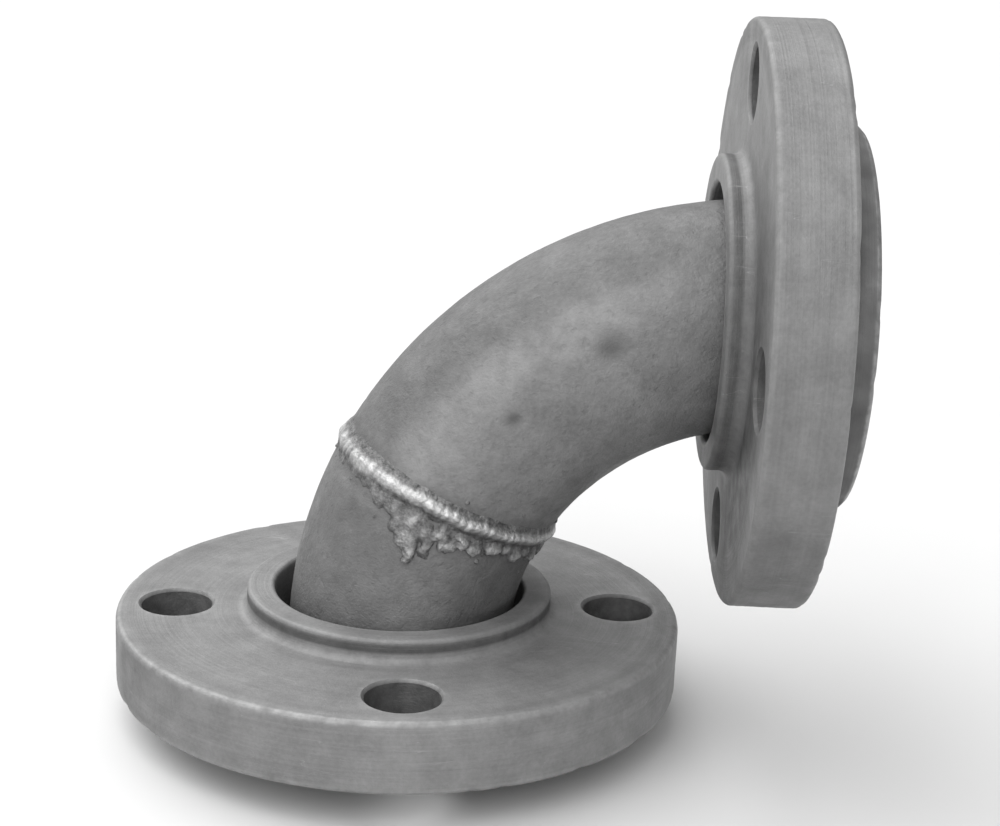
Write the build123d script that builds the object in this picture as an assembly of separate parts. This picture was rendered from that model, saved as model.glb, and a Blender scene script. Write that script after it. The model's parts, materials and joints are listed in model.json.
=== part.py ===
from build123d import *
import math
import os

# A 90 degree pipe elbow of nominal pipe size 2, welded from two bent pieces of pipe, with a weld-on lap collar and
# a loose class 150 flange at each end. Millimetres and degrees. The origin is the centre of the lower collar's
# gasket face. +Z runs up the lower leg's axis, and +X is the way that the upper leg points.

# Pipe and bend
PIPE_OD = 60.3
PIPE_WALL = 3.91
BEND_RADIUS = 95.0
CENTRE_TO_FACE = 114.3

# Girth weld where the two pieces of pipe meet. Its plane leans this much from square across the pipe, so that it is
# lower on the outside of the bend.
SEAM_ANGLE = 29.5
SEAM_LEAN = 4.5
SEAM_ROOT_GAP = 2.0
SEAM_BEVEL = 30.0
SEAM_CAP_HEIGHT = 2.2

# Lap collar and its two welds
COLLAR_OD = 100.0
COLLAR_THICKNESS = 9.5
COLLAR_SLIP = 0.25
COLLAR_CHAMFER = 1.0
PIPE_SETBACK = 3.0
BACK_WELD_LEG = 4.5
BACK_WELD_CROWN = 0.5

# Loose flange
FLANGE_OD = 152.4
FLANGE_THICKNESS = 19.05
FLANGE_BORE = 67.6
FLANGE_BORE_ROUND = 6.0
HUB_OD = 82.6
HUB_HEIGHT = 6.35
HUB_ROOT_FILLET = 2.5
HUB_EDGE_ROUND = 1.2
RIM_ROUND = 1.5
BOLT_CIRCLE = 120.65
BOLT_HOLE = 19.05
BOLT_COUNT = 4
BOLT_HOLE_CHAMFER = 0.8
LAP_GAP = 0.3

# Where each loose flange has come to rest on its leg
LOWER_REST_ANGLE = 4.7
UPPER_REST_ANGLE = -5.0

# Worked out from the above
PIPE_RADIUS = PIPE_OD / 2
BORE_RADIUS = PIPE_RADIUS - PIPE_WALL
TANGENT_LENGTH = CENTRE_TO_FACE - BEND_RADIUS
BEND_CENTRE = (BEND_RADIUS, 0, TANGENT_LENGTH)
QUARTER_TURN = 90.0

# Each leg has a frame of its own: its origin is at the gasket face, and its +Z runs into the elbow.
LOWER_LEG = Plane(origin=(0, 0, 0), x_dir=(1, 0, 0), z_dir=(0, 0, 1))
UPPER_LEG = Plane(origin=(CENTRE_TO_FACE, 0, CENTRE_TO_FACE), x_dir=(0, 0, 1), z_dir=(-1, 0, 0))


def section_plane(angle):
    """The plane across the pipe at an angle of the bend, counted up from the lower leg."""
    turn = math.radians(angle)
    x = BEND_RADIUS * (1 - math.cos(turn))
    z = TANGENT_LENGTH + BEND_RADIUS * math.sin(turn)
    return Plane(origin=(x, 0, z), x_dir=(0, 1, 0), z_dir=(math.sin(turn), 0, math.cos(turn)))


def seam_plane():
    """The plane of the girth seam, centred on the pipe's centreline."""
    turn = math.radians(SEAM_ANGLE - SEAM_LEAN)
    square = section_plane(SEAM_ANGLE)
    return Plane(origin=square.origin, x_dir=(0, 1, 0), z_dir=(math.sin(turn), 0, math.cos(turn)))


def bent_pipe():
    """The pipe's wall round the whole bend, before it is parted at the seam."""
    ring = Circle(PIPE_RADIUS) - Circle(BORE_RADIUS)
    pivot = Axis(BEND_CENTRE, (0, 1, 0))
    return revolve(section_plane(0) * ring, axis=pivot, revolution_arc=QUARTER_TURN)


def straight_pipe(leg):
    """The pipe's straight end, from just inside the gasket face to the start of the bend."""
    ring = Circle(PIPE_RADIUS) - Circle(BORE_RADIUS)
    return leg.offset(PIPE_SETBACK) * extrude(ring, amount=TANGENT_LENGTH - PIPE_SETBACK)


def spun(points_and_arcs):
    """A solid turned about Z from a closed outline of edges drawn in the XZ plane."""
    return revolve(make_face(Plane.XZ * points_and_arcs), axis=Axis.Z, revolution_arc=360)


def seam_half_width(radius):
    """Half the width of the seam's V groove at a radius from the pipe's axis."""
    return SEAM_ROOT_GAP / 2 + (radius - BORE_RADIUS) * math.tan(math.radians(SEAM_BEVEL))


def seam_groove():
    """The V shaped space that is bevelled off the two pipe ends, with room past both walls."""
    inner = BORE_RADIUS - 1
    outer = PIPE_RADIUS + 2
    outline = Polyline(
        (inner, -seam_half_width(inner)),
        (outer, -seam_half_width(outer)),
        (outer, seam_half_width(outer)),
        (inner, seam_half_width(inner)),
        close=True,
    )
    return seam_plane() * spun(outline)


def seam_weld():
    """The bead that fills the groove and stands proud of the pipe as a rounded cap."""
    toe = seam_half_width(PIPE_RADIUS)
    root = seam_half_width(BORE_RADIUS)
    outline = Polyline((PIPE_RADIUS, toe), (BORE_RADIUS, root), (BORE_RADIUS, -root), (PIPE_RADIUS, -toe))
    cap = ThreePointArc((PIPE_RADIUS, -toe), (PIPE_RADIUS + SEAM_CAP_HEIGHT, 0), (PIPE_RADIUS, toe))
    return seam_plane() * spun(outline + cap)


def lap_collar():
    """The thick ring that is slipped over the pipe's end, with the gasket face at z = 0."""
    bore = PIPE_RADIUS + COLLAR_SLIP
    ring = extrude(Circle(COLLAR_OD / 2) - Circle(bore), amount=COLLAR_THICKNESS)
    rims = ring.edges().filter_by(GeomType.CIRCLE).filter_by(lambda edge: edge.radius > bore + 1)
    return chamfer(rims, COLLAR_CHAMFER)


def collar_back_weld():
    """The fillet weld in the corner between the collar's back and the pipe."""
    back = COLLAR_THICKNESS
    toe_on_collar = (PIPE_RADIUS + BACK_WELD_LEG, back)
    toe_on_pipe = (PIPE_RADIUS, back + BACK_WELD_LEG)
    middle = BACK_WELD_LEG / 2 + BACK_WELD_CROWN / math.sqrt(2)
    sides = Polyline(toe_on_pipe, (PIPE_RADIUS, back), toe_on_collar)
    crown = ThreePointArc(toe_on_collar, (PIPE_RADIUS + middle, back + middle), toe_on_pipe)
    return spun(sides + crown)


def collar_face_weld():
    """The ring of weld between the pipe's end and the gasket face, faced off flush with the collar."""
    ring = Circle(PIPE_RADIUS + COLLAR_SLIP) - Circle(BORE_RADIUS)
    return extrude(ring, amount=PIPE_SETBACK)


def flange_blank():
    """The loose flange before it is drilled: a thick plate with a low hub, and a rounded corner at the lap."""
    bore = FLANGE_BORE / 2
    front = COLLAR_THICKNESS + LAP_GAP
    plate_back = front + FLANGE_THICKNESS
    hub_back = plate_back + HUB_HEIGHT
    outline = Polyline(
        (bore + FLANGE_BORE_ROUND, front),
        (FLANGE_OD / 2, front),
        (FLANGE_OD / 2, plate_back),
        (HUB_OD / 2, plate_back),
        (HUB_OD / 2, hub_back),
        (bore, hub_back),
        (bore, front + FLANGE_BORE_ROUND),
    )
    corner = RadiusArc((bore, front + FLANGE_BORE_ROUND), (bore + FLANGE_BORE_ROUND, front), FLANGE_BORE_ROUND)
    blank = spun(outline + corner)

    def ring_edges(radius, height):
        circles = blank.edges().filter_by(GeomType.CIRCLE)
        return circles.filter_by(
            lambda edge: abs(edge.radius - radius) < 0.01 and abs(edge.arc_center.Z - height) < 0.01
        )

    blank = fillet(ring_edges(FLANGE_OD / 2, front) + ring_edges(FLANGE_OD / 2, plate_back), RIM_ROUND)
    blank = fillet(ring_edges(HUB_OD / 2, plate_back), HUB_ROOT_FILLET)
    return fillet(ring_edges(HUB_OD / 2, hub_back) + ring_edges(bore, hub_back), HUB_EDGE_ROUND)


def bolt_hole_cutter():
    """A drill with a countersink at each face of the plate."""
    front = COLLAR_THICKNESS + LAP_GAP
    back = front + FLANGE_THICKNESS
    radius = BOLT_HOLE / 2
    mouth = radius + BOLT_HOLE_CHAMFER
    outline = Polyline(
        (0, front - 1),
        (mouth, front - 1),
        (mouth, front),
        (radius, front + BOLT_HOLE_CHAMFER),
        (radius, back - BOLT_HOLE_CHAMFER),
        (mouth, back),
        (mouth, back + 1),
        (0, back + 1),
        close=True,
    )
    return spun(outline)


def loose_flange(rest_angle):
    """A whole flange, turned about its leg to where it rests."""
    flange = flange_blank()
    cutter = bolt_hole_cutter()
    for number in range(BOLT_COUNT):
        turn = rest_angle + number * 360 / BOLT_COUNT
        flange -= Rot(0, 0, turn) * Pos(BOLT_CIRCLE / 2, 0, 0) * cutter
    return flange


# The groove goes right through the wall, so it parts the pipe into the two pieces that the weld joins.
whole_pipe = straight_pipe(LOWER_LEG) + bent_pipe() + straight_pipe(UPPER_LEG)
lower_bend, main_bend = (whole_pipe - seam_groove()).solids().sort_by(Axis.Z)

parts = {"lower_bend": lower_bend, "main_bend": main_bend, "seam_weld": seam_weld()}
for end, leg, rest_angle in (("lower", LOWER_LEG, LOWER_REST_ANGLE), ("upper", UPPER_LEG, UPPER_REST_ANGLE)):
    parts[f"{end}_lap_collar"] = leg * lap_collar()
    parts[f"{end}_collar_back_weld"] = leg * collar_back_weld()
    parts[f"{end}_collar_face_weld"] = leg * collar_face_weld()
    parts[f"{end}_loose_flange"] = leg * loose_flange(rest_angle)

os.makedirs("parts", exist_ok=True)
for name, shape in parts.items():
    export_step(shape, f"parts/{name}.step")
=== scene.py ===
import json
import math

import bmesh
import bpy
import numpy as np
from mathutils import Matrix, Vector, noise
from mathutils.geometry import delaunay_2d_cdt


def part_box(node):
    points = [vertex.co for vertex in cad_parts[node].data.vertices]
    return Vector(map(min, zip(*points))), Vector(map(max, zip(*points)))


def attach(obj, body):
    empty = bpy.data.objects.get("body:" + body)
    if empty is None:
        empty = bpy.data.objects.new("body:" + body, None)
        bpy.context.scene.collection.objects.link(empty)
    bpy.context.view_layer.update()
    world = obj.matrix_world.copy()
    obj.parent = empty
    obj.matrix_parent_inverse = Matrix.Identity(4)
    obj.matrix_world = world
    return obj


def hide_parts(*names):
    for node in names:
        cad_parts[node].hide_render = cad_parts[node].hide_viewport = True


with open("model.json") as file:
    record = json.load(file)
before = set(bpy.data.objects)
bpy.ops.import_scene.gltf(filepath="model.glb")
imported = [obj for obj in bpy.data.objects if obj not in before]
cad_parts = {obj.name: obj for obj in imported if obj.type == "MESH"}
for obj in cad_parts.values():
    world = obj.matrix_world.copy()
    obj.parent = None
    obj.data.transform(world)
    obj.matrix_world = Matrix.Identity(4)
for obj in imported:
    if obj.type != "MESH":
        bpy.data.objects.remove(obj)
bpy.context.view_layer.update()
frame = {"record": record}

# Shapes are worked out in millimetres and turned into Blender's metres when a mesh is made.
MM = 0.001


def box_mm(node):
    """Lowest and highest corner of a CAD node, in millimetres."""
    low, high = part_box(node)
    return np.array(low) / MM, np.array(high) / MM


# ---------------------------------------------------------------- sizes, from the frame
mounts = {mount["name"]: mount for mount in frame["record"]["mounts"]}
bolt_dims = mounts["lower_flange_bolts"]["dims"]
bore_dims = mounts["lower_bore"]["dims"]

CENTRE_TO_FACE = box_mm("upper_lap_collar")[1][0]
PIPE_RADIUS = box_mm("main_bend")[1][1]
BORE_RADIUS = bore_dims["r_mm"]
TANGENT_LENGTH = bore_dims["length_mm"]
BEND_RADIUS = CENTRE_TO_FACE - TANGENT_LENGTH
BEND_LENGTH = BEND_RADIUS * math.pi / 2

COLLAR_RADIUS = box_mm("lower_lap_collar")[1][0]
COLLAR_THICKNESS = box_mm("lower_lap_collar")[1][2]
PIPE_SETBACK = box_mm("lower_collar_face_weld")[1][2]
COLLAR_BORE = box_mm("lower_collar_face_weld")[1][0]
BACK_WELD_LEG = box_mm("lower_collar_back_weld")[1][0] - PIPE_RADIUS

FLANGE_RADIUS = box_mm("lower_loose_flange")[1][0]
FLANGE_FRONT = box_mm("lower_loose_flange")[0][2]
HUB_BACK = box_mm("lower_loose_flange")[1][2]
BOLT_CIRCLE_RADIUS = bolt_dims["pcd_mm"] / 2
HOLE_RADIUS = bolt_dims["hole_r_mm"]
HOLE_COUNT = bolt_dims["count"]

# Sizes that the frame doesn't state, the same as in the CAD model
HUB_HEIGHT = 6.35
HUB_RADIUS = 41.3
FLANGE_BORE_RADIUS = 33.8
FLANGE_BORE_ROUND = 6.0
HUB_ROOT_FILLET = 2.5
HUB_EDGE_ROUND = 1.2
RIM_ROUND = 1.5
HOLE_CHAMFER = 0.8
COLLAR_CHAMFER = 1.0
SEAM_ANGLE = math.radians(29.5)
SEAM_LEAN = math.radians(4.5)
# Half the width of the seam, at the bore and at the outside of the pipe
SEAM_ROOT = 1.0
SEAM_TOE = 3.257
# How far each flange is turned about its leg at rest
REST_ANGLES = {"lower": math.radians(4.7), "upper": math.radians(-5.0)}

FLANGE_BACK = HUB_BACK - HUB_HEIGHT
HOLE_MOUTH = HOLE_RADIUS + HOLE_CHAMFER

# Each leg's own frame: its origin is the centre of the gasket face, and its +Z runs into the elbow.
LEGS = {
    "lower": Matrix.Identity(4),
    "upper": Matrix(
        (
            (0, 0, -1, CENTRE_TO_FACE),
            (0, 1, 0, 0),
            (1, 0, 0, CENTRE_TO_FACE),
            (0, 0, 0, 1),
        )
    ),
}

# ---------------------------------------------------------------- mesh helpers
# How many points a turned shape has around it
AROUND = 288


def fractal(points, size, octaves=3, seed=0):
    """Smooth noise of about -1 to 1 at each point, with features of about the size given."""
    offset = Vector((17.3, -9.1, 5.7)) * seed
    return np.array([noise.fractal(Vector(p) / size + offset, 1.0, 2.0, octaves) for p in points])


def smoothstep(low, high, value):
    """0 below low, 1 above high, and a smooth rise in between."""
    share = np.clip((value - low) / (high - low), 0, 1)
    return share * share * (3 - 2 * share)


def arc(centre, radius, start_degrees, end_degrees, steps):
    """Points along an arc in a (radius, height) outline."""
    angles = np.radians(np.linspace(start_degrees, end_degrees, steps + 1))
    return [(centre[0] + radius * math.cos(a), centre[1] + radius * math.sin(a)) for a in angles]


def straight(start, end, steps):
    """Points along a line in an outline, without its two ends."""
    return [tuple(np.array(start) + (np.array(end) - start) * i / steps) for i in range(1, steps)]


def grid_faces(rows, columns, first=0, close_rows=False):
    """Quads over a grid of rows that each close on themselves."""
    faces = []
    for row in range(rows if close_rows else rows - 1):
        below = first + row * columns
        above = first + (row + 1) % rows * columns
        for column in range(columns):
            beside = (column + 1) % columns
            faces.append((below + column, below + beside, above + beside, above + column))
    return faces


def spun(outline, count=AROUND):
    """The points of an outline turned about Z, one ring after another."""
    turn = np.linspace(0, 2 * math.pi, count, endpoint=False)
    rings = [np.stack([r * np.cos(turn), r * np.sin(turn), np.full(count, z)], 1) for r, z in outline]
    return np.concatenate(rings)


def moved(points, matrix):
    """Points taken through a 4 by 4 matrix."""
    m = np.array(matrix)
    return points @ m[:3, :3].T + m[:3, 3]


def solid(*parts):
    """Joins (points, faces) pairs into one closed skin, with every face turned outwards."""
    work = bmesh.new()
    for points, faces in parts:
        corners = [work.verts.new(p) for p in points.tolist()]
        for face in faces:
            work.faces.new([corners[i] for i in face])
    bmesh.ops.remove_doubles(work, verts=work.verts, dist=0.001)
    bmesh.ops.recalc_face_normals(work, faces=work.faces)
    work.verts.index_update()
    points = np.array([v.co for v in work.verts], float)
    normals = np.array([v.normal for v in work.verts], float)
    faces = [[v.index for v in face.verts] for face in work.faces]
    work.free()
    return points, normals, faces


def piece(name, points, faces, body, node, material, leg=None, fields=None, sharp=32):
    """Makes one visible piece from points in the row frame, in millimetres, and rides it on its CAD body.

    leg is the leg frame that the piece's turned marks follow. fields are named values for each point."""
    mesh = bpy.data.meshes.new(name)
    mesh.from_pydata((points * MM).tolist(), [], faces)
    for label, values in (fields or {}).items():
        mesh.attributes.new(label, "FLOAT", "POINT").data.foreach_set("value", values.astype(np.float32))
    if leg is not None:
        local = moved(points, leg.inverted()).astype(np.float32)
        mesh.attributes.new("leg", "FLOAT_VECTOR", "POINT").data.foreach_set("vector", local.ravel())
    mesh.polygons.foreach_set("use_smooth", [True] * len(mesh.polygons))
    mesh.set_sharp_from_angle(angle=math.radians(sharp))
    mesh.materials.append(material)
    made = bpy.data.objects.new(name, mesh)
    bpy.context.scene.collection.objects.link(made)
    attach(made, body)
    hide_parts(node)
    return made


# ---------------------------------------------------------------- the pipe's own coordinates
# Lengths along the centreline, from the lower gasket face
SEAM_AT = TANGENT_LENGTH + BEND_RADIUS * SEAM_ANGLE
PIPE_LENGTH = 2 * TANGENT_LENGTH + BEND_LENGTH
# How many points the pipe has around it
PIPE_AROUND = 216


def on_pipe(along, around, radius):
    """Points of the pipe, from the length along its centreline, the angle around it and the radius.

    The length starts at the lower gasket face. The angle is 0 on the bend's outside and 90 degrees at
    -Y."""
    along, around, radius = np.broadcast_arrays(along, around, radius)
    turn = np.clip((along - TANGENT_LENGTH) / BEND_RADIUS, 0, math.pi / 2)
    before = np.minimum(along - TANGENT_LENGTH, 0)
    after = np.maximum(along - TANGENT_LENGTH - BEND_LENGTH, 0)
    outward = radius * np.cos(around)
    x = BEND_RADIUS - (BEND_RADIUS + outward) * np.cos(turn) + after
    z = TANGENT_LENGTH + (BEND_RADIUS + outward) * np.sin(turn) + before
    return np.stack([x, -radius * np.sin(around), z], -1)


# The way that the seam's plane faces, in the XZ plane, as an angle from +Z
SEAM_FACING = SEAM_ANGLE - SEAM_LEAN


def beside_seam(distance, around, radius):
    """The length along the centreline of the points at a distance past the seam's plane."""
    offset = distance + BEND_RADIUS * math.sin(SEAM_LEAN)
    past = np.arcsin(offset / (BEND_RADIUS + radius * np.cos(around)))
    return TANGENT_LENGTH + BEND_RADIUS * (SEAM_FACING + past)


SEAM_CENTRE = on_pipe(SEAM_AT, 0.0, 0.0)
SEAM_NORMAL = np.array([math.sin(SEAM_FACING), 0, math.cos(SEAM_FACING)])


def away_from_seam(points):
    """How far points are from the seam's plane, on either side of it."""
    return np.abs((points - SEAM_CENTRE) @ SEAM_NORMAL)


# Dents in the pipe: bend angle and angle around in degrees, radius and depth
DENTS = (
    (47.4, 85.5, 1.9, 1.1),
    (65.0, 79.5, 3.6, 1.1),
    (55.8, 77.0, 2.4, 0.2),
    (38.0, 150.0, 2.4, 0.3),
    (72.0, 40.0, 2.0, 0.22),
    (55.0, 215.0, 3.0, 0.3),
    (24.0, 250.0, 2.2, 0.28),
    (14.0, 60.0, 1.8, 0.22),
    (80.0, 300.0, 2.6, 0.26),
)


def dented(points):
    """How deep the dents are at each point."""
    depth = np.zeros(len(points))
    for bend_degrees, around_degrees, radius, deepest in DENTS:
        along = TANGENT_LENGTH + BEND_RADIUS * math.radians(bend_degrees)
        middle = on_pipe(along, math.radians(around_degrees), PIPE_RADIUS)
        away = np.linalg.norm(points - middle, axis=1)
        depth += deepest * np.exp(-((away / radius) ** 2))
    return depth


def formed_surface(points, seed):
    """How far the hot-formed outside of the pipe stands off a true tube."""
    rise = 0.13 * fractal(points, 19, 2, seed)
    rise += 0.045 * fractal(points, 5, 3, seed + 1)
    pits = fractal(points, 2.6, 2, seed + 2)
    return rise - 0.09 * smoothstep(0.35, 0.8, pits) - dented(points)


def pipe_section_of(points):
    """The distance of points from the centreline, and -1 to 1 for how far out on the bend they lie."""
    x, y, z = points.T
    bent = np.hypot(BEND_RADIUS - x, z - TANGENT_LENGTH) - BEND_RADIUS
    across = np.where(z < TANGENT_LENGTH, -x, np.where(x > BEND_RADIUS, z - CENTRE_TO_FACE, bent))
    radius = np.hypot(across, y)
    return radius, across / radius


def main_pipe_shades(points, outward):
    """Painted highlight along the main pipe's sides, and painted shade outside and by the upper hub."""
    from_hub = CENTRE_TO_FACE - HUB_BACK - points[:, 0] + 3 * fractal(points, 9, 3, 35)
    # pale: a painted highlight along the pipe's sides, fading out towards the upper hub
    pale = 0.5 * smoothstep(0.1, 0.4, outward) * (1 - smoothstep(0.5, 0.65, outward))
    pale *= smoothstep(4, 30, from_hub)
    # dark: painted shade by the upper hub, where the flange shades the pipe, and on the bend's outside
    dark = np.maximum(1 - smoothstep(-2, 17, from_hub), 0.9 * smoothstep(0.5, 0.78, outward))
    return pale, dark


def lower_pipe_shades(points, outward):
    """How pale and how dark the lower pipe is: pale with fumes below the seam, a darker tone all over and
    more so outside the bend, and painted shade inside the bend."""
    pale = 1 - smoothstep(0, 2.6, np.abs(away_from_seam(points) - 8.5 + 1.5 * fractal(points, 6, 3, 33)))
    pale *= smoothstep(0.35, 0.6, outward) * (1 - smoothstep(0.8, 0.97, outward))
    # dark: a darker tone all over, more of it outside the bend, and painted shade inside the bend
    dark = 0.25 + 0.6 * smoothstep(-0.2, 0.7, outward) + 0.8 * smoothstep(0.2, 0.6, -outward)
    return pale, dark


def pipe_piece(name, node, from_along, to_along, shades, seed, material):
    """One bent pipe.

    from_along and to_along give the length along the centreline of each end, by angle and radius. shades
    says how pale and how dark each point is."""
    around = np.linspace(0, 2 * math.pi, PIPE_AROUND, endpoint=False)
    walls = []
    for radius in (PIPE_RADIUS, BORE_RADIUS):
        start, end = from_along(around, radius), to_along(around, radius)
        rows = int(np.ceil(np.max(end - start))) + 1
        share = np.linspace(0, 1, rows)[:, None]
        points = on_pipe(start + (end - start) * share, around, radius).reshape(-1, 3)
        walls.append((points, grid_faces(rows, PIPE_AROUND), rows))
    outer_rows = walls[0][2]
    inner_first = outer_rows * PIPE_AROUND
    points = np.concatenate([walls[0][0], walls[1][0]])
    faces = walls[0][1] + grid_faces(walls[1][2], PIPE_AROUND, inner_first)
    inner_last = inner_first + (walls[1][2] - 1) * PIPE_AROUND
    for outer, inner in ((0, inner_first), ((outer_rows - 1) * PIPE_AROUND, inner_last)):
        for i in range(PIPE_AROUND):
            j = (i + 1) % PIPE_AROUND
            faces.append((outer + i, outer + j, inner + j, inner + i))
    points, normals, faces = solid((points, faces))
    from_axis, outward = pipe_section_of(points)
    outside = smoothstep(PIPE_RADIUS - 1, PIPE_RADIUS, from_axis)
    rise = outside * formed_surface(points, seed) + (1 - outside) * 0.06 * fractal(points, 4, 3, seed + 5)
    soot_and_dent_shade = 1 - smoothstep(3.2, 7, away_from_seam(points) + 1.2 * fractal(points, 3, 2, 31))
    # Painted shade in the dents, darker the deeper they are
    soot_and_dent_shade = np.maximum(soot_and_dent_shade, 2 * outside * dented(points))
    pale, dark = shades(points, outward)
    fields = {"inside": 1 - outside, "soot_and_dent_shade": soot_and_dent_shade, "pale": pale, "dark": dark}
    points = points + normals * rise[:, None]
    return piece(name, points, faces, "elbow", node, material, fields=fields)


# ---------------------------------------------------------------- welds
def seam_line(around, seed, waves):
    """A wandering value of about -1 to 1 around the seam."""
    ring = np.stack([np.cos(around), np.sin(around), np.full_like(around, seed)], -1) * waves
    return fractal(ring.reshape(-1, 3), 1.0, 2).reshape(around.shape)


# Drips and cold laps beside the bead: angle around in degrees, distance past the seam, half length around
# the pipe, half width along it, and height
DRIPS = (
    (52, -4.2, 3.6, 1.6, 0.5),
    (61, -4.9, 3.8, 2.2, 0.7),
    (70, -5.8, 3.2, 2.8, 0.9),
    (79, -5.6, 2.6, 2.9, 1.4),
    (73, -8.8, 2.6, 2.8, 0.8),
    (80, -10.6, 2.9, 3.6, 1.1),
    (84, -13.6, 2.1, 3.0, 1.5),
    (91, -10.2, 2.0, 3.4, 0.9),
    (87, -6.8, 2.6, 2.2, 0.8),
    (95, -5.2, 2.4, 2.6, 1.3),
    (100, -7.2, 1.9, 2.6, 1.2),
    (106, -4.6, 2.4, 2.3, 1.6),
    (113, -6.0, 2.0, 2.6, 1.2),
    (123, -4.9, 2.6, 2.2, 1.4),
    (131, -4.2, 2.3, 2.0, 0.9),
    (139, -5.0, 2.3, 2.5, 1.5),
    (148, -4.2, 2.6, 1.9, 0.9),
    (156, -5.3, 2.1, 2.4, 1.4),
    (171, -4.6, 2.6, 2.0, 1.2),
    (196, -5.2, 2.8, 1.8, 1.1),
    (231, -5.0, 3.0, 1.8, 1.0),
    (262, -5.6, 2.2, 2.3, 1.3),
    (301, 4.7, 2.8, 1.6, 1.0),
    (335, -4.8, 2.6, 1.7, 1.0),
)
SPATTER_COUNT = 60
RIPPLE_PITCH = 2.1
# The width of the bead's crest, as a share of its half width
CREST_SHARE = 0.62
# The weld's skin is carried this far past the seam on each side, and where there is no metal it runs this
# far below the pipe's surface
WELD_SKIN_FROM, WELD_SKIN_TO = -18.5, 8.0
SKIN_SUNK = -0.6
# How far the root of the weld stands into the bore
PENETRATION = 0.6


def mound(dx, dy, half_length, half_width, height):
    """A rounded lump of metal on a surface, which runs on below the surface outside its own outline."""
    fall = 1 - (dx / half_length) ** 2 - (dy / half_width) ** 2
    return height * np.sign(fall) * np.abs(fall) ** 0.7


def melted(first, second, width):
    """The larger of two heights, run together where they are close."""
    share = np.clip(0.5 + 0.5 * (second - first) / width, 0, 1)
    return first + (second - first) * share + width * share * (1 - share)


def angle_gap(around, angle):
    """The angle from one direction to another, from -180 to 180 degrees."""
    return (around - angle + math.pi) % (2 * math.pi) - math.pi


def bead_height(past, around):
    """The girth bead: uneven, rippled, and lower and wider on the outside of the bend."""
    line = around[0]
    outer = np.maximum(np.cos(line), 0) ** 1.5
    middle = 0.35 * seam_line(line, 3.1, 2.2) + 0.3 * seam_line(line, 8.4, 7) - 1.3 * outer
    half_width = SEAM_TOE + 0.2 + 1.2 * outer
    half_width = half_width + 0.4 * seam_line(line, 5.2, 3) + 0.3 * seam_line(line, 2.2, 10)
    height = 1.75 - 0.5 * outer + 0.45 * seam_line(line, 1.7, 4) + 0.3 * seam_line(line, 4.9, 14)
    across = (past - middle) / half_width
    wave = (line * PIPE_RADIUS + 1.5 * across**2) * 2 * math.pi / RIPPLE_PITCH
    wave = wave + 2.6 * seam_line(line, 6.6, 6)
    ripple = 0.13 * np.cos(wave) * np.clip(1 - np.abs(across), 0, 1)
    crest = np.exp(-((across / CREST_SHARE) ** 2)) - np.exp(-(1 / CREST_SHARE**2))
    return height * crest + 0.15 * (1 - across**4) + ripple


def drip_height(past, around, surface):
    """The drips below the bead, with ragged outlines, and small beads of spatter."""
    flat = surface.reshape(-1, 3)
    along = around * PIPE_RADIUS + 1.3 * fractal(flat, 3.2, 3, 21).reshape(past.shape)
    beside = past + 1.2 * fractal(flat, 3.2, 3, 22).reshape(past.shape)
    drips = np.full(past.shape, -3.0)
    for angle, distance, half_length, half_across, rise in DRIPS:
        gap = angle_gap(along / PIPE_RADIUS, math.radians(angle)) * PIPE_RADIUS
        drips = melted(drips, mound(gap, beside - distance, half_length, half_across, rise), 1.0)
    spots = np.random.default_rng(41)
    for _ in range(SPATTER_COUNT):
        angle = spots.uniform(0, 2 * math.pi)
        side = -1 if spots.random() < 0.85 else 1
        distance = side * (3.8 + min(abs(spots.normal(0, 3.4)), 10 if side < 0 else 3))
        size = spots.uniform(0.35, 0.85)
        gap = angle_gap(around, angle) * PIPE_RADIUS
        drips = np.maximum(drips, mound(gap, past - distance, size, size, 0.7 * size))
    return drips


def seam_weld_piece(material):
    """The girth weld's skin over the pipe, and its root inside."""
    columns, rows = 640, 94
    line = np.linspace(0, 2 * math.pi, columns, endpoint=False)
    past = np.linspace(WELD_SKIN_FROM, WELD_SKIN_TO, rows)[:, None]
    past, around = np.broadcast_arrays(past, line[None, :])
    surface = on_pipe(beside_seam(past, around, PIPE_RADIUS), around, PIPE_RADIUS)
    bead = bead_height(past, around)
    drips = drip_height(past, around, surface)
    top = melted(bead, drips, 0.6)
    flat = surface.reshape(-1, 3)
    top = top + (0.1 * fractal(flat, 1.4, 3, 9) + 0.16 * fractal(flat, 4, 2, 10)).reshape(past.shape)
    rim = (past < WELD_SKIN_FROM + 0.2) | (past > WELD_SKIN_TO - 0.2)
    top = np.where(rim, SKIN_SUNK, np.maximum(top, SKIN_SUNK))
    dripping = smoothstep(-0.4, 0.4, drips - bead)
    sag = 0.5 * np.maximum(top, 0) * dripping
    skin = on_pipe(beside_seam(past - sag, around, PIPE_RADIUS), around, PIPE_RADIUS + top)
    under, root_radius = PIPE_RADIUS + 2 * SKIN_SUNK, BORE_RADIUS - PENETRATION
    root = []
    for past_seam, radius in (
        (WELD_SKIN_TO, under),
        (SEAM_ROOT, root_radius),
        (-SEAM_ROOT, root_radius),
        (WELD_SKIN_FROM, under),
    ):
        root.append(on_pipe(beside_seam(past_seam, line, radius), line, radius))
    points = np.concatenate([skin.reshape(-1, 3)] + root)
    faces = grid_faces(rows + len(root), columns, close_rows=True)
    inner = np.zeros(len(root) * columns)
    # How high the weld stands, which the finish paints as a highlight on the crest
    crest = np.concatenate([smoothstep(0.3, 1.5, top).ravel(), inner])
    fields = {"crest": crest, "dripping": np.concatenate([dripping.ravel(), inner])}
    return piece("seam_bead", points, faces, "elbow", "seam_weld", material,
                 fields=fields, sharp=75)


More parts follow.
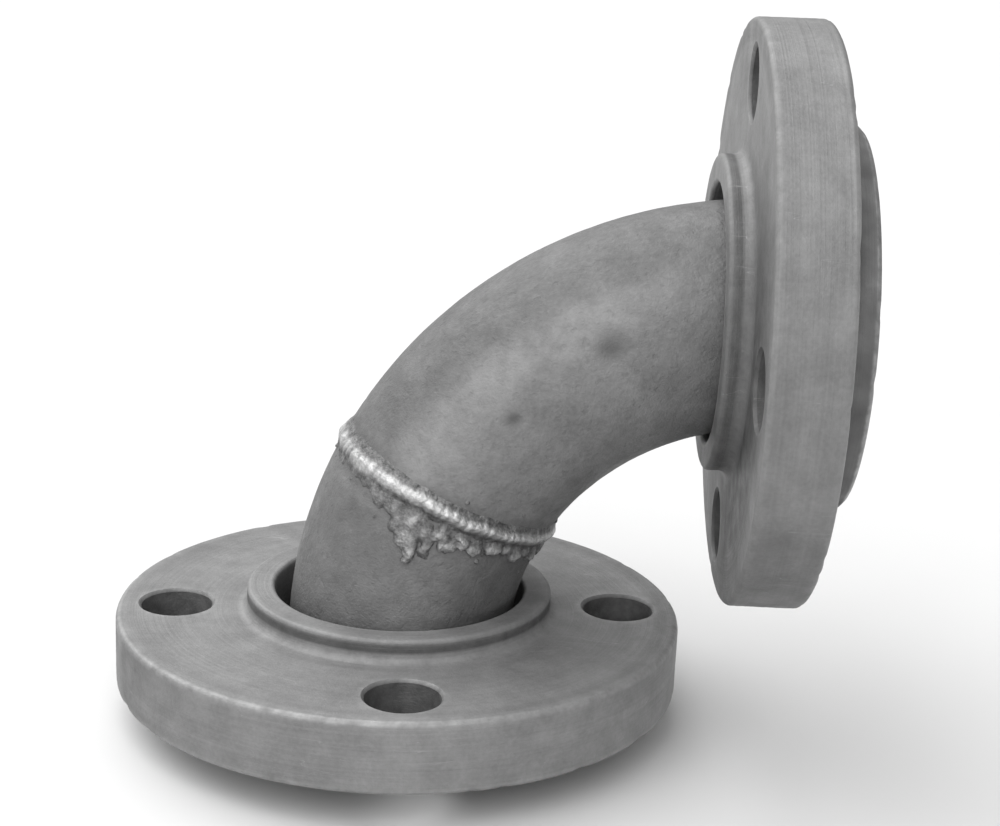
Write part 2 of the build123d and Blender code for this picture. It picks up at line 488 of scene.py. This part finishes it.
def fillet_weld_piece(end, leg, material):
    """The fillet weld behind a lap collar, in overlapping ripples."""
    columns, rows = 480, 13
    around = np.linspace(0, 2 * math.pi, columns, endpoint=False)[None, :]
    share = np.linspace(0, 1, rows)[:, None]
    uneven = 0.18 * seam_line(around[0], 4.4 if end == "lower" else 7.9, 5)
    leg_length = BACK_WELD_LEG - 0.1 + uneven
    radius = PIPE_RADIUS + leg_length * (1 - share)
    height = COLLAR_THICKNESS + leg_length * share
    arched = 4 * share * (1 - share)
    wave = around * PIPE_RADIUS * 2 * math.pi / RIPPLE_PITCH + 5 * share
    bulge = (0.45 * arched + 0.14 * np.cos(wave) * np.sqrt(arched)) * math.sqrt(0.5)
    radius = radius + bulge
    height = height + bulge
    ring = np.stack([radius * np.cos(around), radius * np.sin(around), height], -1)
    corner = spun([(PIPE_RADIUS - 0.3, COLLAR_THICKNESS - 0.3)], columns)
    points = np.concatenate([ring.reshape(-1, 3), corner])
    points, _, faces = solid((moved(points, leg), grid_faces(rows + 1, columns, close_rows=True)))
    fields = {"crest": np.full(len(points), 0.45), "dripping": np.zeros(len(points))}
    return piece(f"{end}_back_fillet", points, faces, "elbow", f"{end}_collar_back_weld",
                 material, fields=fields, sharp=60)


# The turned marks across the face weld
RING_STEPS = 10
RING_GROOVE_DEPTH = 0.042


def face_weld_piece(end, leg, material):
    """The ring of weld at the gasket face, turned off flush, with a thin line where it meets the collar."""
    outer, inner, depth = COLLAR_BORE, BORE_RADIUS, PIPE_SETBACK
    first, last = outer - 0.15, inner + 0.4
    outline = [(outer, 0.25), (first, 0.02)]
    for step in range(1, RING_STEPS):
        outline.append((first + (last - first) * step / RING_STEPS, RING_GROOVE_DEPTH * (step % 2)))
    outline += [(last, 0.02), (inner, 0.4), (inner, depth), (outer, depth)]
    points, _, faces = solid((moved(spun(outline), leg), grid_faces(len(outline), AROUND, close_rows=True)))
    return piece(f"{end}_face_ring", points, faces, "elbow", f"{end}_collar_face_weld",
                 material, leg=leg)


# ---------------------------------------------------------------- worn edges
def ring_band(points, radius, height, width):
    """1 on a circle about Z, falling to 0 at a distance from it."""
    away = np.hypot(np.hypot(points[:, 0], points[:, 1]) - radius, points[:, 2] - height)
    return 1 - smoothstep(0.35 * width, width, away)


def edge_knocks(points, radius, heights, seed, count):
    """How deep small handling knocks are along the round edges at two heights."""
    spots = np.random.default_rng(seed)
    depth = np.zeros(len(points))
    for _ in range(count):
        angle = spots.uniform(0, 2 * math.pi)
        height = heights[spots.integers(0, 2)]
        middle = np.array([radius * math.cos(angle), radius * math.sin(angle), height])
        size = spots.uniform(0.9, 2.4)
        away = np.linalg.norm(points - middle, axis=1)
        depth = np.maximum(depth, spots.uniform(0.12, 0.4) * np.exp(-((away / size) ** 2)))
    return depth


# ---------------------------------------------------------------- lap collars
GROOVE_PITCH = 0.8
GROOVE_DEPTH = 0.09
STEPS_PER_GROOVE = 4
COLLAR_KNOCKS = 14
# How much painted shade the collar's rim has in the corner beside the flange, and on the rest of it
COLLAR_CORNER_SHADE = 1.0
COLLAR_RIM_SHADE = 0.6


def collar_piece(end, leg, seed, material):
    """The lap collar, with shallow concentric grooves turned in its gasket face."""
    outer, back, chamfer = COLLAR_RADIUS, COLLAR_THICKNESS, COLLAR_CHAMFER
    outline = [(COLLAR_BORE, back), (COLLAR_BORE, back / 2), (COLLAR_BORE, 0)]
    first, last = COLLAR_BORE + 0.9, outer - chamfer - 1.2
    steps = int((last - first) / GROOVE_PITCH) * STEPS_PER_GROOVE
    for step in range(steps + 1):
        depth = GROOVE_DEPTH * (0.5 - 0.5 * math.cos(step * 2 * math.pi / STEPS_PER_GROOVE))
        outline.append((first + (last - first) * step / steps, depth))
    outline += [(outer - chamfer, 0), (outer, chamfer)]
    outline += straight((outer, chamfer), (outer, back - chamfer), 16)
    outline += [(outer, back - chamfer), (outer - chamfer, back)]
    outline += straight((outer - chamfer, back), (COLLAR_BORE, back), 10)
    points, normals, faces = solid((spun(outline), grid_faces(len(outline), AROUND, close_rows=True)))
    radius = np.hypot(points[:, 0], points[:, 1])
    rim = smoothstep(outer - 0.4, outer, radius)
    turned = 0.03 * fractal(points[:, [2, 0, 1]] * (2.2, 0.02, 0.02), 1, 2, seed)
    knocks = edge_knocks(points, outer, (0.5, back - 0.5), seed, COLLAR_KNOCKS)
    points = points + normals * (rim * turned - knocks)[:, None]
    wear = np.maximum(ring_band(points, outer, 0, 1.6), 0.4 * ring_band(points, outer, back, 1.6))
    # Painted shade on the collar's rim, where the flange shades it, darkest in the corner beside the flange
    corner = COLLAR_RIM_SHADE + (COLLAR_CORNER_SHADE - COLLAR_RIM_SHADE) * smoothstep(0.35 * back, back, points[:, 2])
    painted_collar_shade = rim * corner * (0.8 + 0.4 * fractal(points, 6, 3, seed + 1))
    fields = {"wear": wear, "shade": painted_collar_shade}
    return piece(f"{end}_collar_ring", moved(points, leg), faces, "elbow", f"{end}_lap_collar",
                 material, leg=leg, fields=fields)


# ---------------------------------------------------------------- loose flanges
# How many points a bolt hole has around it
HOLE_AROUND = 72
# How far apart the points of the plate's flat faces are
FACE_SPACING = 2.4
FLANGE_KNOCKS = 34
# How much painted shade each flange has around its hub, where the hub and elbow shade it, and the way from
# its leg, in the leg's frame, that it is darkest
FACE_PAINTED_SHADE = {"lower": 0.3, "upper": 1.2}
SHADED_SIDE = {"lower": (0.6, -0.8), "upper": (-0.6, -0.8)}
# Painted shade on one side of each flange's rim: its angle in the leg's frame and the angle that it spreads
# over, in degrees, and its strength
RIM_PAINTED_SHADE = {"lower": (200, 34, 0.62), "upper": (230, 28, 0.52)}
# How worn the edges of each flange are, and how bright the painted highlight on its hub's root is
EDGE_WEAR_AND_HIGHLIGHT = {"lower": 0.8, "upper": 0.3}


def hole_centres(rest_angle):
    """The middles of the bolt holes in the leg's frame."""
    turns = rest_angle + np.arange(HOLE_COUNT) * 2 * math.pi / HOLE_COUNT
    return np.stack([np.cos(turns), np.sin(turns)], 1) * BOLT_CIRCLE_RADIUS


def drilled_face(height, inner, outer, mouth, centres):
    """The flat face of the plate between two circles, with a round mouth left open at each bolt hole."""
    def circle(middle, radius, count):
        turn = np.linspace(0, 2 * math.pi, count, endpoint=False)
        return np.stack([middle[0] + radius * np.cos(turn), middle[1] + radius * np.sin(turn)], 1)

    loops = [circle((0, 0), outer, AROUND), circle((0, 0), inner, AROUND)]
    loops += [circle(centre, mouth, HOLE_AROUND) for centre in centres]
    flat, edges = [], []
    for loop in loops:
        first = len(flat)
        flat += loop.tolist()
        edges += [(first + i, first + (i + 1) % len(loop)) for i in range(len(loop))]
    radius = inner + FACE_SPACING * 0.6
    while radius < outer - FACE_SPACING * 0.4:
        for point in circle((0, 0), radius, int(2 * math.pi * radius / FACE_SPACING)):
            if np.linalg.norm(centres - point, axis=1).min() > mouth + 0.7:
                flat.append(point.tolist())
        radius += FACE_SPACING
    found = delaunay_2d_cdt([Vector(p) for p in flat], edges, [], 0, 1e-6)
    points = np.array([(v.x, v.y, height) for v in found[0]])
    openings = [((0, 0), inner)] + [(centre, mouth) for centre in centres]
    rims = [np.abs(np.hypot(*(points[:, :2] - middle).T) - radius) < 0.001 for middle, radius in openings]
    faces = [tuple(triangle) for triangle in found[2] if not any(rim[list(triangle)].all() for rim in rims)]
    return points, faces


def flange_shape(centres):
    """The points, normals and faces of a flange: turned all over and drilled, with round edges."""
    front, back, top = FLANGE_FRONT, FLANGE_BACK, HUB_BACK
    bore, bore_round, edge, root = FLANGE_BORE_RADIUS, FLANGE_BORE_ROUND, HUB_EDGE_ROUND, HUB_ROOT_FILLET
    hub, rim, rim_round = HUB_RADIUS, FLANGE_RADIUS, RIM_ROUND

    inside = arc((bore + bore_round, front + bore_round), bore_round, 270, 180, 10)
    inside += straight((bore, front + bore_round), (bore, top - edge), 12)
    inside += arc((bore + edge, top - edge), edge, 180, 90, 6)
    inside += straight((bore + edge, top), (hub - edge, top), 5)
    inside += arc((hub - edge, top - edge), edge, 90, 0, 6)
    inside += straight((hub, top - edge), (hub, back + root), 4)
    inside += arc((hub + root, back + root), root, 180, 270, 7)
    outside = arc((rim - rim_round, back - rim_round), rim_round, 90, 0, 7)
    outside += straight((rim, back - rim_round), (rim, front + rim_round), 34)
    outside += arc((rim - rim_round, front + rim_round), rim_round, 0, -90, 7)
    hole = [(HOLE_MOUTH, back), (HOLE_RADIUS, back - HOLE_CHAMFER)]
    hole += straight((HOLE_RADIUS, back - HOLE_CHAMFER), (HOLE_RADIUS, front + HOLE_CHAMFER), 9)
    hole += [(HOLE_RADIUS, front + HOLE_CHAMFER), (HOLE_MOUTH, front)]

    parts = [(spun(line), grid_faces(len(line), AROUND)) for line in (inside, outside)]
    for x, y in centres:
        parts.append((spun(hole, HOLE_AROUND) + (x, y, 0), grid_faces(len(hole), HOLE_AROUND)))
    parts.append(drilled_face(back, hub + root, rim - rim_round, HOLE_MOUTH, centres))
    parts.append(drilled_face(front, bore + bore_round, rim - rim_round, HOLE_MOUTH, centres))
    return solid(*parts)


def flange_wear_and_highlight(end, points, from_hole):
    """How far each point is worn to bright metal, on the edges of the rim, the hub and the holes, and
    painted bright as a highlight along the hub's root fillet.
    """
    wear = np.maximum.reduce([
        ring_band(points, FLANGE_RADIUS, FLANGE_BACK, 2.2),
        ring_band(points, FLANGE_RADIUS, FLANGE_FRONT, 2.2),
        0.35 * ring_band(points, HUB_RADIUS, HUB_BACK, 1.6),
        0.7 * ring_band(points, FLANGE_BORE_RADIUS, HUB_BACK, 1.6),
        # A painted highlight along the hub's root fillet
        0.5 * ring_band(points, HUB_RADIUS + 0.7, FLANGE_BACK + 0.7, 2.4),
        0.7 * (1 - smoothstep(0.3, 1.3, np.abs(from_hole - HOLE_MOUTH))),
    ])
    return EDGE_WEAR_AND_HIGHLIGHT[end] * wear


def flange_painted_shade(end, points, radius, on_rim, from_hole, seed):
    """How much painted shade each point has: in the holes and the bore, under the hub's lip, around the
    hub, in a ring inside the rim and on one side of the rim.
    """
    on_plate = smoothstep(FLANGE_BACK - 0.6, FLANGE_BACK - 0.1, points[:, 2])
    on_face = on_plate * smoothstep(HUB_RADIUS + 1.5, HUB_RADIUS + 3.5, radius)
    on_hub = on_plate * smoothstep(FLANGE_BORE_RADIUS + 1, FLANGE_BORE_RADIUS + 3, radius)
    near_hub = 1 - smoothstep(HUB_RADIUS + 12, FLANGE_RADIUS + 3, radius)
    around_hub = np.maximum(0.6 * on_hub, on_face) * near_hub
    towards = points[:, :2] @ np.array(SHADED_SIDE[end]) / radius
    under_lip = 1 - smoothstep(0.7, 1.7, np.abs(points[:, 2] - HUB_BACK + 2.4))
    shade_at, shade_spread, shade_strength = RIM_PAINTED_SHADE[end]
    gap = np.degrees(angle_gap(np.arctan2(points[:, 1], points[:, 0]), math.radians(shade_at)))
    clouded = 0.9 + 0.5 * fractal(points, 12, 3, seed + 3)
    painted_rim_shade = shade_strength * np.exp(-((gap / shade_spread) ** 2)) * clouded
    return np.maximum.reduce([
        # Painted shadow under the hub's lip
        0.95 * under_lip * (1 - smoothstep(0.2, 1.2, np.abs(radius - HUB_RADIUS))),
        # Painted shade around the hub, darkest on the side that the hub and elbow shade
        FACE_PAINTED_SHADE[end] * around_hub * (0.15 + 0.85 * smoothstep(-0.3, 0.9, towards)),
        # Painted shade on one side of the rim
        on_rim * painted_rim_shade,
        # A ring of painted shade on the back face, just inside the rim's edge
        0.35 * ring_band(points, FLANGE_RADIUS - 3.2, FLANGE_BACK, 2.6),
        # Painted shade in the bore
        0.7 * (1 - smoothstep(FLANGE_BORE_RADIUS + 0.3, FLANGE_BORE_RADIUS + 1.2, radius)),
        # Painted shade in the bolt holes
        1.1 * (1 - smoothstep(HOLE_RADIUS + 0.1, HOLE_RADIUS + 0.7, from_hole)),
    ])


def flange_piece(end, leg, seed, material):
    """A loose flange, with the lathe's marks in its rim and small knocks from handling."""
    centres = hole_centres(REST_ANGLES[end])
    points, normals, faces = flange_shape(centres)
    radius = np.hypot(points[:, 0], points[:, 1])
    on_rim = smoothstep(FLANGE_RADIUS - 0.6, FLANGE_RADIUS - 0.1, radius)
    turned = fractal(points[:, [2, 0, 1]] * (1.6, 0.015, 0.015), 1, 3, seed)
    rise = 0.05 * (on_rim * turned + fractal(points, 16, 2, seed + 1))
    rise += 0.02 * fractal(points, 4, 2, seed + 2)
    edges = (FLANGE_FRONT + 0.4, FLANGE_BACK - 0.4)
    knocks = edge_knocks(points, FLANGE_RADIUS - 0.4, edges, seed, FLANGE_KNOCKS)
    points = points + normals * (rise - knocks)[:, None]
    from_hole = np.min([np.hypot(points[:, 0] - x, points[:, 1] - y) for x, y in centres], axis=0)
    fields = {
        "wear": flange_wear_and_highlight(end, points, from_hole),
        "shade": flange_painted_shade(end, points, radius, on_rim, from_hole, seed),
    }
    return piece(f"{end}_flange_plate", moved(points, leg), faces, f"{end}_flange", f"{end}_loose_flange",
                 material, leg=leg, fields=fields)


# ---------------------------------------------------------------- materials
# Grey levels of clean surfaces
PIPE_GREY = 0.178
FLANGE_GREY = 0.192
STEEL_GREY = 0.24
FACED_WELD_GREY = 0.4
# Grey levels of the soot, fumes, wear and dark bore on them, and of the painted shade and highlights
PAINTED_SHADE_GREY = 0.03
SOOT_AND_DENT_SHADE_GREY = 0.08
DARK_PIPE_GREY = 0.07
FUME_AND_HIGHLIGHT_GREY = 0.34
WORN_PAINT_AND_HIGHLIGHT_GREY = 0.42
WORN_STEEL_GREY = 0.55


class Finish:
    """A material made of nodes. Places are in millimetres, on the object or in the frame of its leg."""

    def __init__(self, name, specular=0.5):
        self.material = bpy.data.materials.new(name)
        self.material.use_nodes = True
        self.nodes = self.material.node_tree.nodes
        self.links = self.material.node_tree.links
        self.shader = self.nodes["Principled BSDF"]
        self.shader.inputs["Specular IOR Level"].default_value = specular
        coordinates = self.nodes.new("ShaderNodeTexCoord").outputs["Object"]
        self.place = self.add("VectorMath", {0: coordinates, "Scale": 1 / MM}, operation="SCALE").outputs[0]
        self.relief = None

    def add(self, kind, inputs, **settings):
        """A node of a kind, with values or other nodes' outputs put into its inputs."""
        node = self.nodes.new("ShaderNode" + kind)
        for label, value in settings.items():
            setattr(node, label, value)
        for label, value in inputs.items():
            self.put(node.inputs[label], value)
        return node

    def put(self, socket, value):
        if isinstance(value, bpy.types.NodeSocket):
            self.links.new(value, socket)
        else:
            socket.default_value = value

    def calc(self, operation, *values):
        return self.add("Math", dict(enumerate(values)), operation=operation).outputs[0]

    def times(self, first, second):
        """The product of two values."""
        return self.calc("MULTIPLY", first, second)

    def total(self, *values):
        """The sum of several values."""
        result = values[0]
        for value in values[1:]:
            result = self.calc("ADD", result, value)
        return result

    def noise(self, size, low=-1.0, high=1.0, detail=2.0, place=None, spread=0.16):
        """Noise with features of a size in millimetres. Raw noise 0.5 -/+ spread becomes low and high."""
        inputs = {"Vector": place or self.place, "Scale": 1 / size, "Detail": detail, "Roughness": 0.55}
        raw = self.add("TexNoise", inputs).outputs[0]
        return self.between(raw, 0.5 - spread, 0.5 + spread, low, high)

    def between(self, value, low, high, to_low=0.0, to_high=1.0):
        """A value from low to high, brought to to_low and to_high and held there."""
        inputs = {"Value": value, "From Min": low, "From Max": high, "To Min": to_low, "To Max": to_high}
        return self.add("MapRange", inputs).outputs[0]

    def blend(self, share, first, second):
        """The first value where share is 0, and the second where it is 1."""
        return self.add("Mix", {0: share, 2: first, 3: second}, data_type="FLOAT").outputs[0]

    def field(self, name):
        return self.add("Attribute", {}, attribute_name=name).outputs["Fac"]

    def turned_place(self, fine):
        """A place that changes fast across a lathe's marks and hardly at all along them."""
        leg = self.add("Attribute", {}, attribute_name="leg").outputs["Vector"]
        x, y, z = self.add("SeparateXYZ", {0: leg}).outputs
        radius = self.calc("SQRT", self.total(self.calc("POWER", x, 2.0), self.calc("POWER", y, 2.0)))
        inputs = {0: self.times(radius, fine), 1: self.times(z, fine), 2: self.times(x, 0.02)}
        return self.add("CombineXYZ", inputs).outputs[0]

    def bump(self, height, depth_mm):
        """Adds relief of a depth in millimetres."""
        inputs = {"Height": height, "Distance": depth_mm * MM, "Strength": 1.0}
        if self.relief is not None:
            inputs["Normal"] = self.relief
        self.relief = self.add("Bump", inputs).outputs[0]

    def finish(self, colour, roughness, metallic):
        self.put(self.shader.inputs["Base Color"], colour)
        self.put(self.shader.inputs["Roughness"], roughness)
        self.put(self.shader.inputs["Metallic"], metallic)
        if self.relief is not None:
            self.put(self.shader.inputs["Normal"], self.relief)
        return self.material


def pipe_finish():
    """Dull grey, hot-formed pipe: mottled, pitted, dark with soot beside the seam and pale with fumes below
    it.
    It carries painted shade in its dents, by the upper hub and on the bend's outside and inside, and a
    painted highlight along the main pipe's sides.
    """
    finish = Finish("pipe_grey")
    clouds = finish.noise(24, -0.022, 0.022, 3)
    blotches = finish.noise(7, -0.02, 0.02, 3)
    grain = finish.noise(1.2, -0.014, 0.014, 2)
    pits = finish.noise(2.3, 0, 1, 1, spread=0.2)
    pits = finish.between(pits, 0.82, 0.98)
    value = finish.total(PIPE_GREY, clouds, blotches, grain)
    value = finish.blend(finish.times(pits, 0.2), value, 0.09)
    # Soot beside the seam, and painted shade in the dents
    value = finish.blend(finish.times(finish.field("soot_and_dent_shade"), 0.45), value, SOOT_AND_DENT_SHADE_GREY)
    # Fumes below the seam on the lower pipe, and a painted highlight along the main pipe's sides
    fume_and_highlight = finish.times(finish.field("pale"), finish.noise(3, 0.2, 0.6, 3))
    value = finish.blend(fume_and_highlight, value, FUME_AND_HIGHLIGHT_GREY)
    # Painted shade on the main pipe by the upper hub and outside the bend; on the lower pipe a darker tone,
    # and painted shade inside the bend
    dark = finish.times(finish.field("dark"), finish.noise(6, 0.4, 0.7, 3))
    value = finish.blend(dark, value, DARK_PIPE_GREY)
    value = finish.blend(finish.times(finish.field("inside"), 0.45), value, DARK_PIPE_GREY)
    finish.bump(finish.noise(3.2, 0, 1, 3), 0.12)
    finish.bump(finish.noise(0.55, 0, 1, 2), 0.05)
    finish.bump(pits, -0.06)
    roughness = finish.total(0.58, finish.noise(9, -0.07, 0.07, 3), finish.noise(1.5, -0.05, 0.05))
    return finish.finish(value, roughness, 0.1)


def flange_finish():
    """Dull grey, turned forging: clouded, ringed by the lathe, with painted shade in places and a painted
    highlight at the hub's root, worn and scratched.
    """
    finish = Finish("flange_grey")
    rings = finish.noise(1, -1, 1, 3, place=finish.turned_place(1.3), spread=0.22)
    bands = finish.noise(1, -1, 1, 2, place=finish.turned_place(0.22), spread=0.2)
    clouds = finish.noise(30, -0.02, 0.02, 3)
    blotches = finish.noise(8, -0.018, 0.018, 3)
    grain = finish.noise(1.1, -0.012, 0.012, 2)
    value = finish.total(FLANGE_GREY, clouds, blotches, grain)
    value = finish.total(value, finish.times(rings, 0.012), finish.times(bands, 0.01))
    # Painted shade, darkening the holes, the bore, the hub's lip, the face around the hub and part of the
    # rim
    painted_shade = finish.times(finish.field("shade"), finish.noise(5, 0.56, 0.74, 3))
    value = finish.blend(finish.calc("MINIMUM", painted_shade, 1.0), value, PAINTED_SHADE_GREY)
    # The wear field also carries the painted highlight along the hub's root fillet
    worn = finish.times(finish.field("wear"), finish.noise(3.5, 0.05, 0.75, 4))
    squeeze = (0.05, 0.35, 1.0)
    streaks = finish.add("VectorMath", {0: finish.place, 1: squeeze}, operation="MULTIPLY").outputs[0]
    hairs = finish.add("TexNoise", {"Vector": streaks, "Scale": 0.3, "Detail": 1.0}).outputs[0]
    hairs = finish.calc("ABSOLUTE", finish.calc("SUBTRACT", hairs, 0.5))
    strength = finish.noise(14, 0, 0.55, spread=0.12)
    hairs = finish.times(finish.between(hairs, 0.0, 0.0022, 1, 0), strength)
    worn = finish.calc("MAXIMUM", worn, hairs)
    value = finish.blend(finish.times(worn, 0.75), value, WORN_PAINT_AND_HIGHLIGHT_GREY)
    finish.bump(rings, 0.03)
    finish.bump(finish.noise(2.6, 0, 1, 3), 0.05)
    finish.bump(finish.noise(0.5, 0, 1, 2), 0.03)
    finish.bump(hairs, -0.02)
    roughness = finish.total(0.56, finish.noise(10, -0.06, 0.06, 3), finish.times(worn, -0.14))
    return finish.finish(value, roughness, finish.between(worn, 0, 1, 0.1, 0.7))


def machined_steel():
    """Bare turned steel that has dulled, with fine rings, a few stains and painted shade on its rim."""
    finish = Finish("turned_steel")
    rings = finish.noise(1, -1, 1, 3, place=finish.turned_place(3.2), spread=0.24)
    stains = finish.noise(11, 0, 1, 4)
    value = finish.total(STEEL_GREY, finish.noise(20, -0.03, 0.03, 3), finish.times(rings, 0.02))
    value = finish.blend(finish.times(stains, 0.3), value, 0.15)
    # Painted shade on the collar's rim, which also makes the steel rougher and less metallic
    painted_shade = finish.field("shade")
    value = finish.blend(painted_shade, value, 0.06)
    worn = finish.times(finish.field("wear"), finish.noise(2.5, 0.2, 1.0, 4))
    value = finish.blend(finish.times(worn, 0.6), value, WORN_STEEL_GREY)
    finish.bump(rings, 0.02)
    finish.bump(finish.noise(0.5, 0, 1, 2), 0.015)
    roughness = finish.total(0.4, finish.times(stains, 0.16), finish.times(worn, -0.08))
    roughness = finish.total(roughness, finish.times(painted_shade, 0.35))
    return finish.finish(value, roughness, finish.between(painted_shade, 0, 1, 0.85, 0.1))


def weld_metal():
    """Bright bare weld bead with a painted highlight on its crest, and painted shade and oxide down in its
    ripples, with grey, oxidised drips.
    """
    finish = Finish("bare_weld")
    crest = finish.field("crest")
    dripping = finish.field("dripping")
    # The higher the metal stands, the lighter: a painted highlight on the crest and painted shade lower
    # down, on the bead and on the drips
    bright = finish.blend(finish.calc("POWER", crest, 1.4), 0.18, 0.52)
    dull = finish.blend(crest, 0.2, 0.42)
    value = finish.blend(dripping, bright, dull)
    value = finish.total(value, finish.noise(2.2, -0.08, 0.08, 3), finish.noise(0.6, -0.05, 0.05, 2))
    oxide = finish.times(finish.noise(4, 0, 1, 4, spread=0.2), finish.between(crest, 0.2, 0.9, 0.5, 0.08))
    value = finish.blend(oxide, value, 0.12)
    finish.bump(finish.noise(0.8, 0, 1, 3), 0.12)
    finish.bump(finish.noise(0.25, 0, 1, 2), 0.03)
    roughness = finish.total(finish.between(crest, 0, 1, 0.58, 0.42), finish.noise(1.5, -0.06, 0.08, 2))
    roughness = finish.total(roughness, finish.times(dripping, 0.1))
    return finish.finish(value, roughness, 0.85)


def faced_weld():
    """Weld metal turned off flush: rings from the lathe over a slightly porous, cloudy steel."""
    finish = Finish("turned_weld")
    rings = finish.noise(1, -1, 1, 3, place=finish.turned_place(3.2), spread=0.24)
    pores = finish.between(finish.noise(0.8, 0, 1, 1, spread=0.2), 0.86, 0.98)
    value = finish.total(FACED_WELD_GREY, finish.noise(5, -0.07, 0.07, 4), finish.times(rings, 0.025))
    value = finish.blend(pores, value, 0.06)
    finish.bump(rings, 0.02)
    finish.bump(pores, -0.08)
    roughness = finish.total(0.36, finish.noise(4, -0.06, 0.08, 3), finish.times(pores, 0.2))
    return finish.finish(value, roughness, 0.9)


# ---------------------------------------------------------------- the elbow
def seam_side(sign):
    """The end of a pipe on one side of the seam, bevelled from the bead's toe to its root."""
    def along(around, radius):
        half_width = SEAM_TOE if radius > (PIPE_RADIUS + BORE_RADIUS) / 2 else SEAM_ROOT
        return beside_seam(sign * half_width, around, radius)
    return along


def cut_at(length):
    """The end of a pipe cut square at a length along its centreline."""
    return lambda around, radius: np.full_like(around, length)


grey_pipe = pipe_finish()
bare_weld = weld_metal()
upper_end = cut_at(PIPE_LENGTH - PIPE_SETBACK)
lower_end = cut_at(PIPE_SETBACK)
pipe_piece("main_pipe", "main_bend", seam_side(1), upper_end, main_pipe_shades, 1, grey_pipe)
pipe_piece("lower_pipe", "lower_bend", lower_end, seam_side(-1), lower_pipe_shades, 12, grey_pipe)
seam_weld_piece(bare_weld)

grey_flange = flange_finish()
steel = machined_steel()
flush_weld = faced_weld()
for number, (end, leg) in enumerate(LEGS.items()):
    collar_piece(end, leg, 50 + number, steel)
    fillet_weld_piece(end, leg, bare_weld)
    face_weld_piece(end, leg, flush_weld)
    flange_piece(end, leg, 60 + number * 5, grey_flange)


# ---------------------------------------------------------------- floor, lights and camera
# All in metres. The floor is just below the gasket face, so that the two don't share a plane.
FLOOR_HALF_WIDTH = 8.0
FLOOR_LEVEL = -0.0001
# Two large soft lights: the way each comes from, and its strength
LIGHTS = {"front_key": (Vector((-0.22, -0.75, 0.75)), 2.25), "back_key": (Vector((-0.45, 0.4, 0.85)), 2.7)}
LIGHT_SPREAD = math.radians(70)
SKY_STRENGTH = 0.42
# The camera, as fitted to the outlines in the photograph, with its lens and sensor in millimetres
CAMERA_TARGET = Vector((0.025403, 0, 0.084466))
CAMERA_DISTANCE = 0.50102
CAMERA_AZIMUTH = math.radians(0.26)
CAMERA_ELEVATION = math.radians(15.52)
CAMERA_ROLL = math.radians(2.38)
CAMERA_LENS = 67.79
CAMERA_SENSOR = 36


def lay_floor():
    """A plain pale floor under the lower gasket face."""
    half, level = FLOOR_HALF_WIDTH, FLOOR_LEVEL
    mesh = bpy.data.meshes.new("floor")
    corners = [(-half, -half, level), (half, -half, level), (half, half, level), (-half, half, level)]
    mesh.from_pydata(corners, [], [(0, 1, 2, 3)])
    finish = Finish("floor_pale", specular=0.2)
    mesh.materials.append(finish.finish(finish.noise(60, 0.655, 0.66), 0.8, 0.0))
    floor = bpy.data.objects.new("floor", mesh)
    bpy.context.scene.collection.objects.link(floor)


def light_scene():
    """Two large soft lights from the upper left, one in front and one behind, and a dim even sky."""
    for name, (from_where, strength) in LIGHTS.items():
        lamp = bpy.data.lights.new(name, "SUN")
        lamp.energy = strength
        lamp.angle = LIGHT_SPREAD
        lamp_object = bpy.data.objects.new(name, lamp)
        lamp_object.rotation_euler = from_where.to_track_quat("Z", "Y").to_euler()
        bpy.context.scene.collection.objects.link(lamp_object)
    world = bpy.data.worlds.new("sky")
    world.use_nodes = True
    sky = world.node_tree.nodes["Background"]
    sky.inputs["Color"].default_value = (1, 1, 1, 1)
    sky.inputs["Strength"].default_value = SKY_STRENGTH
    bpy.context.scene.world = world
    bpy.context.scene.view_settings.view_transform = "Standard"


def place_camera():
    """The camera looks a little down on the elbow, square to the plane of its bend."""
    level = math.cos(CAMERA_ELEVATION)
    rise = math.sin(CAMERA_ELEVATION)
    away = Vector((level * math.sin(CAMERA_AZIMUTH), -level * math.cos(CAMERA_AZIMUTH), rise))
    right = (-away).cross(Vector((0, 0, 1))).normalized()
    up = right.cross(-away)
    turned_right = right * math.cos(CAMERA_ROLL) + up * math.sin(CAMERA_ROLL)
    turned_up = up * math.cos(CAMERA_ROLL) - right * math.sin(CAMERA_ROLL)
    lens = bpy.data.cameras.new("camera")
    lens.lens = CAMERA_LENS
    lens.sensor_fit = "HORIZONTAL"
    lens.sensor_width = CAMERA_SENSOR
    lens.clip_end = 50
    camera = bpy.data.objects.new("camera", lens)
    turn = Matrix((turned_right, turned_up, away)).transposed()
    camera.matrix_world = Matrix.Translation(CAMERA_TARGET + away * CAMERA_DISTANCE) @ turn.to_4x4()
    bpy.context.scene.collection.objects.link(camera)
    bpy.context.scene.camera = camera


lay_floor()
light_scene()
place_camera()
